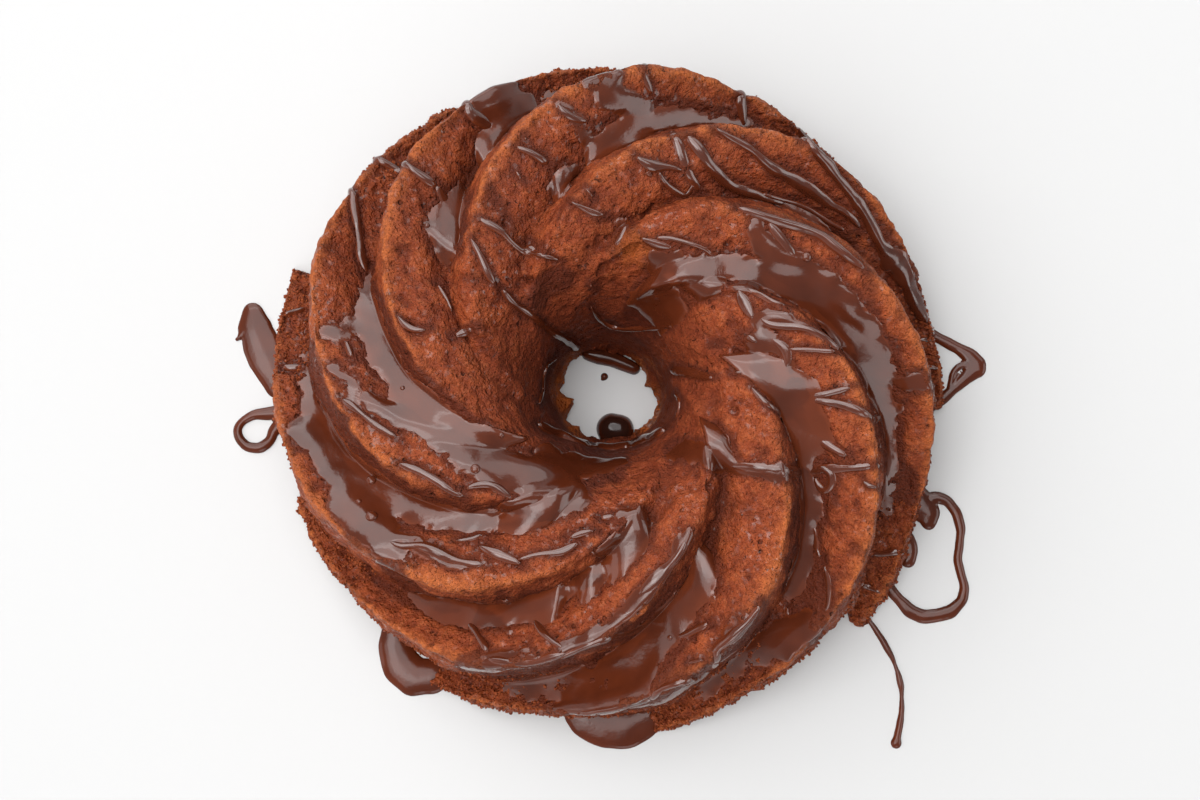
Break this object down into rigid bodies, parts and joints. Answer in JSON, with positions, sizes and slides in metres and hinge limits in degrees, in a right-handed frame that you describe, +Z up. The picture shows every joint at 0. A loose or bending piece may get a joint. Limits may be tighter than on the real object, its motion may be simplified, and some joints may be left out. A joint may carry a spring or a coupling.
{
  "type": "bundt cake",
  "caption": "Ring-shaped cake baked in a pinwheel mould: deep spiral folds round a tapered centre hole, with chocolate glaze in the valleys.",
  "frame": {"origin": "centre of the bounding box's bottom face, on the surface the cake stands on", "axes": "+Z up through the centre hole; -Y towards the near side of the usual view"},
  "size_m": [0.2336, 0.2318, 0.0808],
  "materials": {
    "crust": "matte",
    "glaze": "gloss"
  },
  "bodies": {
    "root": {"cake": "crust"}
  },
  "joints": []
}
